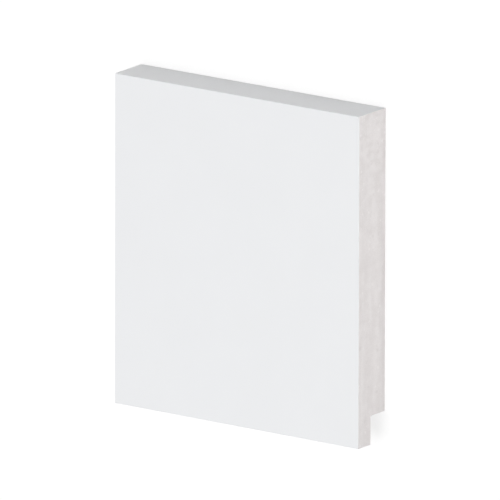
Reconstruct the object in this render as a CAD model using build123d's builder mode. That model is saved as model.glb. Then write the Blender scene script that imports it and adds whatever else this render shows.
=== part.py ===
"""Square-edged skirting board: a short sawn length, lying on its back.

The board is one strip of dense foamed polymer. Its front face and its top edge meet in a crisp
arris, and a rebate runs behind the foot, so that only the front lip reaches the floor and cables or
the edge of the floor covering lie hidden behind it. Both ends are sawn square.

The frame: X runs along the board, Y up its face from the foot to the top edge, and Z through its
thickness from the back, which lies on the ground, to the front. The origin is the middle of the
board's outline on the ground. Lengths are in millimetres.
"""

import os

from build123d import *

# The strip
length = 105.0
height = 120.0
thickness = 16.0

# The rebate behind the foot
rebate_height = 10.5
rebate_depth = 8.5
rebate_corner_radius = 0.5

# The eased edges
front_arris_radius = 0.4
lip_back_radius = 0.3
back_arris_width = 0.25

# The section stands on its back: its X is the board's height, and its Y is the board's thickness
with BuildPart() as skirting_board:
    with BuildSketch(Plane.YZ) as section:
        Rectangle(height, thickness, align=(Align.CENTER, Align.MIN))
        with Locations((-height / 2, 0)):
            Rectangle(rebate_height, rebate_depth, align=Align.MIN, mode=Mode.SUBTRACT)

        # A small radius fills the inner corner, between the ledge and the back of the lip
        ledge_corners = section.vertices().group_by(Axis.X)[1]
        fillet(ledge_corners.sort_by(Axis.Y).last, rebate_corner_radius)

        # The two front arrises are eased, so that the white coat holds on them
        front_corners = section.vertices().group_by(Axis.Y)[-1]
        fillet(front_corners, front_arris_radius)

        # The foot of the lip's back is eased less, and the two back edges only lose their burr
        lip_corners = section.vertices().group_by(Axis.X)[0]
        fillet(lip_corners.sort_by(Axis.Y).first, lip_back_radius)
        back_corners = section.vertices().group_by(Axis.Y)[0]
        chamfer(back_corners, back_arris_width)
    extrude(amount=length / 2, both=True)

skirting_board.part.label = "skirting_board"

os.makedirs("parts", exist_ok=True)
export_step(skirting_board.part, "parts/skirting_board.step")
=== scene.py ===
"""The skirting board's finish, its studio and its camera.

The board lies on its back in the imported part's frame: X runs along the board, Y up its face from
the foot to the top edge, and Z out of its front face. Lengths are in metres.
"""

import math

import bpy
from mathutils import Matrix, Vector


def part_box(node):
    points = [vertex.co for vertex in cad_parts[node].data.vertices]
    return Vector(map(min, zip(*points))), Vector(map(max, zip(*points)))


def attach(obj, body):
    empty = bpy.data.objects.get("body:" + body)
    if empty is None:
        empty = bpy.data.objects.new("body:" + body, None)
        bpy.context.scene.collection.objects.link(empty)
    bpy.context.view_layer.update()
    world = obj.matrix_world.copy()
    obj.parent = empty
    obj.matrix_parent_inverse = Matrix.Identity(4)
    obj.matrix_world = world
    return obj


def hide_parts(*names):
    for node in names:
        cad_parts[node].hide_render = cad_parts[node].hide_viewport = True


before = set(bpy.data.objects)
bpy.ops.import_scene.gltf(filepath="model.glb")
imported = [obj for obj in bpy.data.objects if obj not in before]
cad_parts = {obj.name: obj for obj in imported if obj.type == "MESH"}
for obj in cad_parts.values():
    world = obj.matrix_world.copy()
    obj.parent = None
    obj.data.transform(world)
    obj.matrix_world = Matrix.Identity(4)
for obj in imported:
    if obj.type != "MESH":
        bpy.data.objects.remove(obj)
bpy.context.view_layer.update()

MM = 0.001
WHITE = (1.0, 1.0, 1.0)

# The board's sizes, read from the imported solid
low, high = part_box("skirting_board")
LENGTH, HEIGHT, THICKNESS = high - low

# The ledge is the lowest point near the back, and the lip's back the rearmost near the foot
solid_points = [v.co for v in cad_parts["skirting_board"].data.vertices]
LEDGE = min(p.y for p in solid_points if p.z < low.z + THICKNESS / 4)
LIP_BACK = min(p.z for p in solid_points if p.y < low.y + (LEDGE - low.y) / 2)

# Its eased edges, the same as the solid's
FRONT_ARRIS_RADIUS = 0.4 * MM
LIP_BACK_RADIUS = 0.3 * MM
BACK_ARRIS_WIDTH = 0.25 * MM
REBATE_CORNER_RADIUS = 0.5 * MM

# The mesh
ARC_POINTS = 9  # on each rounded corner
OUTLINE_STEP = 0.5 * MM
LENGTH_STEP = 5.0 * MM
END_CELL = 0.3 * MM
END_MARGIN = 0.6  # of a cell, between the outline and the grid on an end
WELD = 0.001 * MM
SHARP_ANGLE = math.radians(30)
END_NORMAL = 0.5  # the least X in the normal of a face on an end

# The saw's relief on the ends
RELIEF_DEPTH = 0.07 * MM
RELIEF_START = 0.1 * MM  # from the nearest long face
RELIEF_FULL = 0.7 * MM

# Noises and random numbers
MIDDLE = 0.5
NOISE_LOW = 0.3  # most of a noise lies from here
NOISE_HIGH = 0.7  # to here

# The foam's mottle: patches, and streaks that begin below the top edge
PATCH_LENGTHS = Vector((4, 3.2, 3.6)) * MM
STREAK_LENGTHS = Vector((5, 20, 3.2)) * MM
STREAKS_START = 5.0 * MM
STREAKS_FULL = 45.0 * MM
STREAK_SHARE_START = 0.3
STREAK_SHARE_FULL = 0.6
COARSE_FOAM = 0.35  # the mottle's value where the foam is coarse
FINE_FOAM = 0.65  # and where it is fine

# The white coat on the front, the top edge and the foot
COAT_COLOUR = (0.842, 0.851, 0.865)
COAT_ROUGHNESS = 0.36
CLOUD_LENGTHS = Vector((18, 18, 18)) * MM
CLOUD_SHADE = 0.992
CLOUD_ROUGHNESS = 0.12  # the most that the clouds change it
PEEL_LENGTHS = Vector((1.6, 1.6, 1.6)) * MM
PEEL_DETAIL = 1.0
PEEL_DEPTH = 0.006 * MM

# The line of coat that the saw has cut, painted lighter than the coat itself as a painted highlight
# along the arris
CUT_COAT_HIGHLIGHT_COLOUR = (0.93, 0.925, 0.92)
FRONT_COAT_THICKNESS = 0.28 * MM
EDGE_COAT_THICKNESS = 0.06 * MM
CUT_COAT_SOFTNESS = 0.2  # of its thickness

# The foam that the saw lays bare, from its darkest cells to its lightest
DARK_COLOUR = (0.734, 0.6975, 0.69)
LIGHT_COLOUR = (0.874, 0.8445, 0.841)
COARSE_TONE = 0.3  # 0 is the dark colour
FINE_TONE = 0.7  # and 1 the light one
CELL_TONES = 0.5  # the most that two cells differ
CELL_SPACING = 0.12 * MM
GRAIN_LENGTHS = Vector((0.3, 0.3, 0.3)) * MM
GRAIN_STRENGTH = 0.5
FOAM_ROUGHNESS = 0.8
FOAM_DEPTH = 0.035 * MM

# The foam's dots, in shares of their spacing
DOT_RADIUS_LEAST = 0.2
DOT_RADIUS_MOST = 0.44
DOT_HEART = 0.15  # of the radius, where a dot is in full
DOT_WEAR = 0.3
DOT_WEAR_LENGTHS = Vector((0.8, 0.8, 0.8)) * MM

# Light specks, which crowd near the top edge and the front
SPECK_COLOUR = (0.925, 0.892, 0.888)
SPECK_STRENGTH = 0.5
SPECK_SPACING = 2.2 * MM
SPECK_SHARE = 0.08  # of the cells
TOP_SPECK_SHARE = 0.34  # added near the top edge
TOP_SPECKS_START = 16.0 * MM
TOP_SPECKS_FULL = 6.0 * MM
FRONT_SPECK_SHARE = 0.12  # added near the front
FRONT_SPECKS_START = 5.0 * MM
FRONT_SPECKS_FULL = 1.0 * MM

# Dark pores, which crowd towards the foot
PORE_COLOUR = (0.695, 0.658, 0.65)
PORE_STRENGTH = 0.4
PORE_SPACING = 3.0 * MM
PORE_SHARE = 0.08  # of the cells, in the upper half
FOOT_PORE_SHARE = 0.26

# The skin that the foam has on the back and in the rebate
SKIN_COLOUR = (0.79, 0.77, 0.762)
SKIN_DARK_SHADE = 0.98
SKIN_LIGHT_SHADE = 1.02
SKIN_ROUGHNESS = 0.6
SKIN_LINE_LENGTHS = Vector((70, 0.9, 0.9)) * MM
SKIN_LINE_DEPTH = 0.02 * MM

# The sky and the floor
SKY_LIGHT = 0.166
FLOOR_COLOUR = (0.9, 0.9, 0.9)
FLOOR_SIDE = 12.0
GLOW_SHARE = 0.7  # of the floor, where it is seen
GLOW_STRENGTH = 1.1

# The lamps, with their width and height, and their power in watts
KEY_PLACE = (0.0, -0.2, 6.0)
KEY_SIZE = (4.8, 4.8)
KEY_POWER = 350.8
FILL_PLACE = (0.47, 0.06, 0.03)
FILL_SIZE = (0.2, 0.05)
FILL_POWER = 0.542

# The view in the photograph: turned to the right, raised and rolled, for an upright board
VIEW_TURN = math.radians(35.59)
VIEW_RISE = math.radians(14.76)
VIEW_ROLL = math.radians(0.12)
VIEW_DISTANCE = 8.0
CLIP_DISTANCE = 24.0
SENSOR_WIDTH = 36.0  # in millimetres

# The photograph's square picture
PICTURE_SIDE = 500
PIXELS_PER_METRE = 2853.0
BOARD_CENTRE_PIXEL = (249.66, 256.19)


# Node trees

def find_socket(sockets, key):
    """A socket by its index, or by its name among those in use."""
    if isinstance(key, int):
        return sockets[key]
    return next(s for s in sockets if s.name == key and s.enabled)


class Wire:
    """An output socket of a node tree.

    Arithmetic on it adds Math nodes. & gives the smaller of two values, and | the larger.
    """

    def __init__(self, graph, socket):
        self.graph = graph
        self.socket = socket

    def output(self, name):
        """Another output of the same node."""
        return Wire(self.graph, find_socket(self.socket.node.outputs, name))

    def __add__(self, other):
        return self.graph.math("ADD", self, other)

    def __sub__(self, other):
        return self.graph.math("SUBTRACT", self, other)

    def __rsub__(self, other):
        return self.graph.math("SUBTRACT", other, self)

    def __mul__(self, other):
        return self.graph.math("MULTIPLY", self, other)

    def __truediv__(self, other):
        return self.graph.math("DIVIDE", self, other)

    def __neg__(self):
        return self.graph.math("MULTIPLY", self, -1.0)

    def __abs__(self):
        return self.graph.math("ABSOLUTE", self)

    def __lt__(self, other):
        return self.graph.math("LESS_THAN", self, other)

    def __gt__(self, other):
        return self.graph.math("GREATER_THAN", self, other)

    def __and__(self, other):
        return self.graph.math("MINIMUM", self, other)

    def __or__(self, other):
        return self.graph.math("MAXIMUM", self, other)

    __radd__ = __add__
    __rmul__ = __mul__


class Graph:
    """A node tree, and the one method that adds nodes to it."""

    def __init__(self, tree):
        self.tree = tree

    def node(self, kind, settings=None, sockets=None, output=0):
        """Adds a node, and gives one of its outputs where it has any.

        Its settings come first, and then the value or link of each socket. A list gives one
        socket several links.
        """
        made = self.tree.nodes.new(kind)
        for name, value in (settings or {}).items():
            if name == "item_count":
                # An Index Switch starts with two items, and gets the others one by one
                for _ in range(len(made.index_switch_items), value):
                    made.index_switch_items.new()
            else:
                setattr(made, name, value)
        for name, value in (sockets or {}).items():
            socket = find_socket(made.inputs, name)
            for one in value if isinstance(value, list) else [value]:
                if isinstance(one, Wire):
                    self.tree.links.new(one.socket, socket)
                else:
                    socket.default_value = one
        return Wire(self, find_socket(made.outputs, output)) if made.outputs else None

    def math(self, operation, *values):
        """A Math node on one or two values."""
        return self.node("ShaderNodeMath", {"operation": operation}, dict(enumerate(values)))

    def vector(self, *values):
        """A vector of three numbers."""
        return self.node("ShaderNodeCombineXYZ", {}, dict(enumerate(values)))

    def parts(self, vector):
        """The three numbers of a vector."""
        split = self.node("ShaderNodeSeparateXYZ", {}, {0: vector})
        return split, split.output("Y"), split.output("Z")

    def ramp(self, value, start, end, low=0.0, high=1.0):
        """A smooth rise from low at start to high at end."""
        return self.node(
            "ShaderNodeMapRange",
            {"interpolation_type": "SMOOTHSTEP"},
            {"Value": value, "From Min": start, "From Max": end, "To Min": low, "To Max": high},
        )

    def noise(self, place, lengths, detail=2.0):
        """Soft noise about MIDDLE, with features of these lengths along X, Y and Z."""
        factors = Vector([1 / length for length in lengths])
        spot = self.node("ShaderNodeVectorMath", {"operation": "MULTIPLY"}, {0: place, 1: factors})
        sockets = {"Vector": spot, "Scale": 1.0, "Detail": detail}
        return self.node("ShaderNodeTexNoise", {}, sockets)

    def mix(self, factor, first, second):
        """A blend of two colours."""
        return self.node(
            "ShaderNodeMix",
            {"data_type": "RGBA"},
            {"Factor": factor, "A": first, "B": second},
            "Result",
        )


def opaque(colour, shade=1.0):
    """A colour with its alpha, made darker or lighter by a shade below or over 1."""
    return (*(part * shade for part in colour), 1.0)


# Patterns on the sawn ends. They read a place in the board's frame.

def foam_mottle(graph, place):
    """Soft patches of finer and coarser foam, drawn out into streaks away from the top edge."""
    patches = graph.noise(place, PATCH_LENGTHS)
    streaks = graph.noise(place, STREAK_LENGTHS)
    _, y, _ = graph.parts(place)
    drawn_out = graph.ramp(
        y, high.y - STREAKS_START, high.y - STREAKS_FULL, STREAK_SHARE_START, STREAK_SHARE_FULL
    )
    return patches + (streaks - patches) * drawn_out


def foam_cells(graph, place, spacing):
    """Cells on a sawn end: the way to the nearest one's middle, and three random numbers for it."""
    x, y, z = graph.parts(place)
    # The left end reads its cells from another place, so that the two ends differ
    slide = graph.math("SIGN", x) * (HEIGHT * 2)
    spot = graph.vector(y / spacing, (z + slide) / spacing, 0.0)
    cells = graph.node(
        "ShaderNodeTexVoronoi", {"voronoi_dimensions": "2D"}, {"Vector": spot, "Scale": 1.0}
    )
    return cells, graph.parts(cells.output("Color"))


def foam_dots(graph, place, spacing, share, wear):
    """Soft dots in a share of the cells, each with its own size. A noise wears their rims."""
    away, (chance, size, _) = foam_cells(graph, place, spacing)
    radius = DOT_RADIUS_LEAST + size * (DOT_RADIUS_MOST - DOT_RADIUS_LEAST)
    worn = away + (wear - MIDDLE) * DOT_WEAR
    return graph.ramp(worn, radius, radius * DOT_HEART) * (chance < share)


def cut_coat_and_highlight(graph, place):
    """1 where the saw has cut the coat, which is thick on the front and thin round the corners, and
    where a painted highlight lies along the arris.
    """
    _, y, z = graph.parts(place)

    # How deep the place lies below the coated faces and the round arrises between them
    past_y = abs(y) - (high.y - FRONT_ARRIS_RADIUS)
    past_z = z - (high.z - FRONT_ARRIS_RADIUS)
    round_y = past_y | 0.0
    round_z = past_z | 0.0
    beyond = graph.math("SQRT", round_y * round_y + round_z * round_z)
    depth = FRONT_ARRIS_RADIUS - beyond - ((past_y | past_z) & 0.0)

    thickness = graph.ramp(
        past_z - past_y, 0.0, FRONT_ARRIS_RADIUS, EDGE_COAT_THICKNESS, FRONT_COAT_THICKNESS
    )
    return graph.ramp(depth / thickness, 1 + CUT_COAT_SOFTNESS, 1 - CUT_COAT_SOFTNESS)


# The shape of the board

BOARD_SIZES = {
    "length": LENGTH,
    "height": HEIGHT,
    "thickness": THICKNESS,
    "rebate height": LEDGE - low.y,
    "rebate depth": LIP_BACK - low.z,
    "rebate corner radius": REBATE_CORNER_RADIUS,
    "front arris radius": FRONT_ARRIS_RADIUS,
    "lip back radius": LIP_BACK_RADIUS,
    "back arris width": BACK_ARRIS_WIDTH,
    "outline step": OUTLINE_STEP,
    "length step": LENGTH_STEP,
    "end cell": END_CELL,
    "relief depth": RELIEF_DEPTH,
    "relief start": RELIEF_START,
    "relief full": RELIEF_FULL,
}


def pick_by_index(graph, kind, index, values):
    """The value in a list that has a point's index."""
    sockets = {"Index": index}
    sockets.update({str(i): value for i, value in enumerate(values)})
    return graph.node(
        "GeometryNodeIndexSwitch", {"data_type": kind, "item_count": len(values)}, sockets
    )


def moved(graph, geometry, *offset):
    """A geometry moved along X, Y and Z."""
    return graph.node(
        "GeometryNodeTransform", {}, {"Geometry": geometry, "Translation": graph.vector(*offset)}
    )


def welded(graph, *parts):
    """Geometries joined in one, with the points that meet made one."""
    whole = graph.node("GeometryNodeJoinGeometry", {}, {"Geometry": list(parts)})
    return graph.node("GeometryNodeMergeByDistance", {}, {"Geometry": whole, "Distance": WELD})


def ledge_place(size):
    """Where the ledge of the rebate lies up the board's face, from the middle of its height."""
    return size["rebate height"] - size["height"] / 2


def in_rebate(size, across, through, margin):
    """1 in the rebate, and within a margin past its two walls."""
    return (across < ledge_place(size) + margin) & (through < size["rebate depth"] + margin)


def section_outline(graph, size):
    """The closed outline of the section. X runs up the board's face, and Y to its front."""
    half = size["height"] / 2
    ledge = ledge_place(size)
    lip_back = size["rebate depth"]
    front = size["thickness"]
    corners = (
        (ledge, lip_back, size["rebate corner radius"]),
        (ledge, 0.0, size["back arris width"]),
        (half, 0.0, size["back arris width"]),
        (half, front, size["front arris radius"]),
        (-half, front, size["front arris radius"]),
        (-half, lip_back, size["lip back radius"]),
    )
    index = graph.node("GeometryNodeInputIndex")
    places = [graph.vector(across, through, 0.0) for across, through, _ in corners]
    radii = [radius for _, _, radius in corners]
    points = graph.node(
        "GeometryNodePoints",
        {},
        {"Count": len(corners), "Position": pick_by_index(graph, "VECTOR", index, places)},
    )
    open_line = graph.node("GeometryNodePointsToCurves", {}, {"Points": points})
    closed = graph.node("GeometryNodeSetSplineCyclic", {}, {"Geometry": open_line, "Cyclic": True})
    rounded = graph.node(
        "GeometryNodeFilletCurve",
        {"mode": "POLY"},
        {
            "Curve": closed,
            "Count": ARC_POINTS,
            "Radius": pick_by_index(graph, "FLOAT", index, radii),
            "Limit Radius": True,
        },
    )

    # Each straight run is cut into steps
    place = graph.node("GeometryNodeInputPosition")
    following = graph.node(
        "GeometryNodeOffsetPointInCurve", {}, {"Point Index": index, "Offset": 1}, "Point Index"
    )
    next_place = graph.node(
        "GeometryNodeFieldAtIndex",
        {"data_type": "FLOAT_VECTOR"},
        {"Value": place, "Index": following},
    )
    run = graph.node(
        "ShaderNodeVectorMath", {"operation": "DISTANCE"}, {0: place, 1: next_place}, "Value"
    )
    cuts = run / size["outline step"]
    return graph.node("GeometryNodeSubdivideCurve", {}, {"Curve": rounded, "Cuts": cuts})


def end_face(graph, size, outline):
    """A dense flat face that fills the outline, so that the saw's relief has points to move."""
    cell = size["end cell"]
    grid_height = size["height"] - cell * 2
    grid_thickness = size["thickness"] - cell * 2
    grid = graph.node(
        "GeometryNodeMeshGrid",
        {},
        {
            "Size X": grid_height,
            "Size Y": grid_thickness,
            "Vertices X": graph.math("ROUND", grid_height / cell) + 1,
            "Vertices Y": graph.math("ROUND", grid_thickness / cell) + 1,
        },
    )
    centred = moved(graph, grid, 0.0, size["thickness"] / 2, 0.0)

    # The grid keeps only the points that are well inside the outline
    across, through, _ = graph.parts(graph.node("GeometryNodeInputPosition"))
    edges = graph.node("GeometryNodeCurveToMesh", {}, {"Curve": outline})
    gap = graph.node(
        "GeometryNodeProximity", {"target_element": "EDGES"}, {"Geometry": edges}, "Distance"
    )
    left_out = in_rebate(size, across, through, 0.0) | (gap < cell * END_MARGIN)
    inside = graph.node(
        "GeometryNodeDeleteGeometry",
        {"domain": "POINT"},
        {"Geometry": centred, "Selection": left_out},
    )

    # A ring of triangles joins its border, where edges have one face, to the outline
    border = graph.node("GeometryNodeInputMeshEdgeNeighbors") < 2
    inner = graph.node("GeometryNodeMeshToCurve", {}, {"Mesh": inside, "Selection": border})
    both = graph.node("GeometryNodeJoinGeometry", {}, {"Geometry": [outline, inner]})
    ring = graph.node("GeometryNodeFillCurve", {"mode": "TRIANGLES"}, {"Curve": both})
    return welded(graph, inside, ring)


def closed_board(graph, size):
    """The outline run along the length, with a face on both ends, turned into the board's frame."""
    half = size["length"] / 2
    outline = section_outline(graph, size)
    line = graph.node(
        "GeometryNodeCurvePrimitiveLine",
        {},
        {"Start": graph.vector(0.0, 0.0, -half), "End": graph.vector(0.0, 0.0, half)},
    )
    steps = graph.math("ROUND", size["length"] / size["length step"])
    path = graph.node("GeometryNodeResampleCurve", {}, {"Curve": line, "Count": steps + 1})
    sides = graph.node("GeometryNodeCurveToMesh", {}, {"Curve": path, "Profile Curve": outline})
    face = end_face(graph, size, outline)
    flipped = graph.node("GeometryNodeFlipFaces", {}, {"Mesh": face})
    right = moved(graph, face, 0.0, 0.0, half)
    left = moved(graph, flipped, 0.0, 0.0, -half)
    board = welded(graph, sides, right, left)
    across, through, along = graph.parts(graph.node("GeometryNodeInputPosition"))
    return graph.node(
        "GeometryNodeSetPosition",
        {},
        {"Geometry": board, "Position": graph.vector(along, across, through)},
    )


def depth_in_section(graph, size, across, through):
    """How far a place in the section lies from the nearest long face."""
    half = size["height"] / 2
    to_outside = (half - abs(across)) & through & (size["thickness"] - through)
    beyond_ledge = (across - ledge_place(size)) | 0.0
    beyond_lip = (through - size["rebate depth"]) | 0.0
    to_rebate = graph.math("SQRT", beyond_ledge * beyond_ledge + beyond_lip * beyond_lip)
    return to_outside & to_rebate


def with_relief(graph, size, board):
    """The board with the saw's relief. Coarser foam lies lower, and nothing stands proud."""
    place = graph.node("GeometryNodeInputPosition")
    x, y, z = graph.parts(place)
    on_end = abs(x) > size["length"] / 2 - WELD
    inward = -graph.math("SIGN", x)
    depth = depth_in_section(graph, size, y, z)
    share = graph.ramp(depth, size["relief start"], size["relief full"])
    coarse = graph.ramp(foam_mottle(graph, place), FINE_FOAM, COARSE_FOAM)
    dip = coarse * share * size["relief depth"]
    return graph.node(
        "GeometryNodeSetPosition",
        {},
        {
            "Geometry": board,
            "Selection": on_end,
            "Offset": graph.vector(inward * dip, 0.0, 0.0),
        },
    )


def with_smooth_faces(graph, board):
    """The board with smooth shading, but for the sharp edges round the sawn ends."""
    smooth = graph.node("GeometryNodeSetShadeSmooth", {}, {"Geometry": board, "Shade Smooth": True})
    turn = graph.node("GeometryNodeInputMeshEdgeAngle")
    return graph.node(
        "GeometryNodeSetShadeSmooth",
        {"domain": "EDGE"},
        {"Geometry": smooth, "Selection": turn > SHARP_ANGLE, "Shade Smooth": False},
    )


def with_finishes(graph, size, board, coat, skin, sawn):
    """The coated board, with bare skin on the back and in the rebate, and sawn foam on the ends."""
    _, y, z = graph.parts(graph.node("GeometryNodeInputPosition"))
    facing_along, _, _ = graph.parts(graph.node("GeometryNodeInputNormal"))
    on_back = z < size["back arris width"]
    board = graph.node("GeometryNodeRealizeInstances", {}, {"Geometry": board})
    for selection, material in (
        (True, coat),
        (on_back | in_rebate(size, y, z, WELD), skin),
        (abs(facing_along) > END_NORMAL, sawn),
    ):
        board = graph.node(
            "GeometryNodeSetMaterial",
            {},
            {"Geometry": board, "Selection": selection, "Material": material},
        )
    return board


def board_tree(coat, skin, sawn):
    """The Geometry Nodes tree of the board, and the identifiers of its named inputs."""
    tree = bpy.data.node_groups.new("board_by_section", "GeometryNodeTree")
    new_socket = tree.interface.new_socket
    identifiers = {
        name: new_socket(name, in_out="INPUT", socket_type="NodeSocketFloat").identifier
        for name in BOARD_SIZES
    }
    new_socket("board", in_out="OUTPUT", socket_type="NodeSocketGeometry")

    graph = Graph(tree)
    inputs = graph.node("NodeGroupInput")
    size = {name: inputs.output(name) for name in BOARD_SIZES}
    board = closed_board(graph, size)
    board = with_relief(graph, size, board)
    board = with_smooth_faces(graph, board)
    board = with_finishes(graph, size, board, coat, skin, sawn)
    graph.node("NodeGroupOutput", {}, {"board": board})
    return tree, identifiers


def make_board(coat, skin, sawn):
    """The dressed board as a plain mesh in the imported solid's place."""
    piece = bpy.data.objects.new("sawn_board", bpy.data.meshes.new("sawn_board_start"))
    bpy.context.scene.collection.objects.link(piece)
    tree, identifiers = board_tree(coat, skin, sawn)
    modifier = piece.modifiers.new("board_by_section", "NODES")
    modifier.node_group = tree
    for name, value in BOARD_SIZES.items():
        modifier[identifiers[name]] = value
    depsgraph = bpy.context.evaluated_depsgraph_get()
    mesh = bpy.data.meshes.new_from_object(piece.evaluated_get(depsgraph), depsgraph=depsgraph)
    piece.modifiers.clear()
    piece.data = mesh
    mesh.name = "sawn_board"

    # The grid of the ends brings an empty first slot
    mesh.materials.pop(index=0)
    return piece


# The finishes

def new_material(name):
    """A material, and the empty graph that its nodes go into."""
    material = bpy.data.materials.new(name)
    material.use_nodes = True
    material.node_tree.nodes.clear()
    return material, Graph(material.node_tree)


def finish_material(graph, colour, roughness, relief, depth):
    """Joins a surface's colour, its roughness and a relief of some depth in one shader."""
    bump = graph.node("ShaderNodeBump", {}, {"Strength": 1.0, "Distance": depth, "Height": relief})
    shader = graph.node(
        "ShaderNodeBsdfPrincipled",
        {},
        {"Base Color": colour, "Roughness": roughness, "Normal": bump},
    )
    graph.node("ShaderNodeOutputMaterial", {}, {"Surface": shader})


def white_coat():
    """Satin white coat, sprayed: a very faint orange peel, and a gloss that varies a little."""
    material, graph = new_material("white_satin_coat")
    place = graph.node("ShaderNodeTexCoord", {}, {}, "Object")
    clouds = graph.noise(place, CLOUD_LENGTHS)
    peel = graph.noise(place, PEEL_LENGTHS, PEEL_DETAIL)
    shade = graph.ramp(clouds, NOISE_LOW, NOISE_HIGH)
    colour = graph.mix(shade, opaque(COAT_COLOUR), opaque(COAT_COLOUR, CLOUD_SHADE))
    roughness = COAT_ROUGHNESS + (clouds - MIDDLE) * CLOUD_ROUGHNESS
    finish_material(graph, colour, roughness, peel, PEEL_DEPTH)
    return material


def sawn_foam():
    """The dense foam on a sawn end, with a thin line of coat along its coated edges that is painted
    lighter than the coat as a highlight.
    """
    material, graph = new_material("sawn_foam")
    place = graph.node("ShaderNodeTexCoord", {}, {}, "Object")
    _, y, z = graph.parts(place)
    grain = graph.noise(place, GRAIN_LENGTHS)
    wear = graph.noise(place, DOT_WEAR_LENGTHS)
    away, (tint, _, _) = foam_cells(graph, place, CELL_SPACING)
    mottle = foam_mottle(graph, place)
    mottle_tone = graph.ramp(mottle, COARSE_FOAM, FINE_FOAM, COARSE_TONE, FINE_TONE)
    tone = mottle_tone + (tint - MIDDLE) * CELL_TONES
    colour = graph.mix(tone, opaque(DARK_COLOUR), opaque(LIGHT_COLOUR))

    # Light specks crowd towards the top edge and the front, and dark pores towards the foot
    near_top = graph.ramp(y, high.y - TOP_SPECKS_START, high.y - TOP_SPECKS_FULL)
    near_front = graph.ramp(z, high.z - FRONT_SPECKS_START, high.z - FRONT_SPECKS_FULL)
    speck_share = SPECK_SHARE + near_top * TOP_SPECK_SHARE + near_front * FRONT_SPECK_SHARE
    pore_share = graph.ramp(y, 0.0, low.y, PORE_SHARE, FOOT_PORE_SHARE)
    specks = foam_dots(graph, place, SPECK_SPACING, speck_share, wear)
    pores = foam_dots(graph, place, PORE_SPACING, pore_share, wear)
    colour = graph.mix(pores * PORE_STRENGTH, colour, opaque(PORE_COLOUR))
    colour = graph.mix(specks * SPECK_STRENGTH, colour, opaque(SPECK_COLOUR))

    # The cut coat's line is lighter than the coat itself: a painted highlight along the arris
    colour = graph.mix(cut_coat_and_highlight(graph, place), colour, opaque(CUT_COAT_HIGHLIGHT_COLOUR))
    relief = grain * GRAIN_STRENGTH + away - pores
    finish_material(graph, colour, FOAM_ROUGHNESS, relief, FOAM_DEPTH)
    return material


def raw_skin():
    """The uncoated skin on the back and in the rebate, with faint lines along the board."""
    material, graph = new_material("raw_skin")
    place = graph.node("ShaderNodeTexCoord", {}, {}, "Object")
    lines = graph.noise(place, SKIN_LINE_LENGTHS)
    colour = graph.mix(
        graph.ramp(lines, NOISE_LOW, NOISE_HIGH),
        opaque(SKIN_COLOUR, SKIN_DARK_SHADE),
        opaque(SKIN_COLOUR, SKIN_LIGHT_SHADE),
    )
    finish_material(graph, colour, SKIN_ROUGHNESS, lines, SKIN_LINE_DEPTH)
    return material


# The studio

def seen_directly(graph):
    """1 for rays from the camera, in mirrors and through glass, and 0 for light's own paths."""
    path = graph.node("ShaderNodeLightPath", {}, {}, "Is Camera Ray")
    return path | path.output("Is Glossy Ray") | path.output("Is Transmission Ray")


def make_sky():
    """A plain sky that lights softly and is white where it is seen."""
    world = bpy.data.worlds.new("plain_sky")
    world.use_nodes = True
    world.node_tree.nodes.clear()
    graph = Graph(world.node_tree)
    strength = SKY_LIGHT + seen_directly(graph) * (1.0 - SKY_LIGHT)
    sky = graph.node("ShaderNodeBackground", {}, {"Color": opaque(WHITE), "Strength": strength})
    graph.node("ShaderNodeOutputWorld", {}, {"Surface": sky})
    bpy.context.scene.world = world


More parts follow.
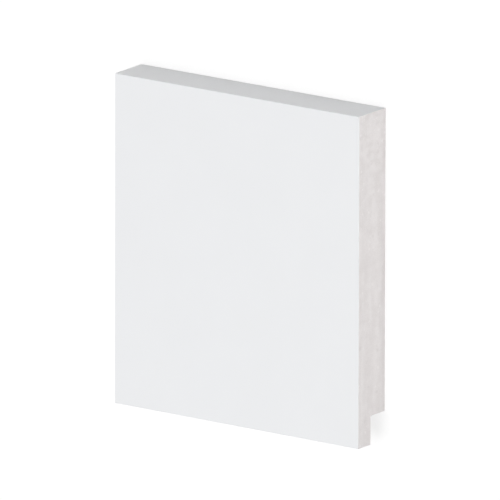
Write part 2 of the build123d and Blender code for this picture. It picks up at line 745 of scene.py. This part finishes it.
def make_floor():
    """A pale floor that looks white and keeps a faint shadow of the board."""
    material, graph = new_material("pale_floor")
    matt = graph.node("ShaderNodeBsdfDiffuse", {}, {"Color": opaque(FLOOR_COLOUR)})
    glow = graph.node(
        "ShaderNodeEmission", {}, {"Color": opaque(WHITE), "Strength": GLOW_STRENGTH}
    )
    share = seen_directly(graph) * GLOW_SHARE
    shader = graph.node("ShaderNodeMixShader", {}, {0: share, 1: matt, 2: glow})
    graph.node("ShaderNodeOutputMaterial", {}, {"Surface": shader})

    half = FLOOR_SIDE / 2
    mesh = bpy.data.meshes.new("floor")
    corners = [(-half, -half, 0), (half, -half, 0), (half, half, 0), (-half, half, 0)]
    mesh.from_pydata(corners, [], [(0, 1, 2, 3)])
    mesh.materials.append(material)
    floor = bpy.data.objects.new("floor", mesh)
    bpy.context.scene.collection.objects.link(floor)


def make_lamp(name, place, size, power):
    """A soft light panel that faces the board. Neither the camera nor a gloss shows it."""
    light = bpy.data.lights.new(name, "AREA")
    light.shape = "RECTANGLE"
    light.size, light.size_y = size
    light.energy = power
    lamp = bpy.data.objects.new(name, light)
    lamp.location = place
    lamp.rotation_euler = Vector(place).to_track_quat("Z", "Y").to_euler()
    lamp.visible_camera = False
    lamp.visible_glossy = False
    bpy.context.scene.collection.objects.link(lamp)


def make_camera():
    """The photograph's view: for an upright board it is from the front, the right and above."""
    right = Vector((math.cos(VIEW_TURN), 0, -math.sin(VIEW_TURN)))
    back = Vector(
        (
            math.sin(VIEW_TURN) * math.cos(VIEW_RISE),
            math.sin(VIEW_RISE),
            math.cos(VIEW_TURN) * math.cos(VIEW_RISE),
        )
    )
    up = back.cross(right)
    roll = Matrix.Rotation(VIEW_ROLL, 3, back)
    right, up = roll @ right, roll @ up
    off_right = (PICTURE_SIDE / 2 - BOARD_CENTRE_PIXEL[0]) / PIXELS_PER_METRE
    off_up = (BOARD_CENTRE_PIXEL[1] - PICTURE_SIDE / 2) / PIXELS_PER_METRE
    aim = (low + high) / 2 + right * off_right + up * off_up

    data = bpy.data.cameras.new("camera")
    data.sensor_width = SENSOR_WIDTH
    data.lens = PIXELS_PER_METRE * VIEW_DISTANCE * SENSOR_WIDTH / PICTURE_SIDE
    data.clip_end = CLIP_DISTANCE
    camera = bpy.data.objects.new("camera", data)
    turn = Matrix((right, up, back)).transposed().to_4x4()
    camera.matrix_world = Matrix.Translation(aim + back * VIEW_DISTANCE) @ turn
    bpy.context.scene.collection.objects.link(camera)
    bpy.context.scene.camera = camera


bpy.context.scene.view_settings.view_transform = "Standard"
make_camera()
make_sky()
make_floor()
make_lamp("key", KEY_PLACE, KEY_SIZE, KEY_POWER)
make_lamp("fill", FILL_PLACE, FILL_SIZE, FILL_POWER)

board = make_board(white_coat(), raw_skin(), sawn_foam())
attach(board, "root")
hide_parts("skirting_board")
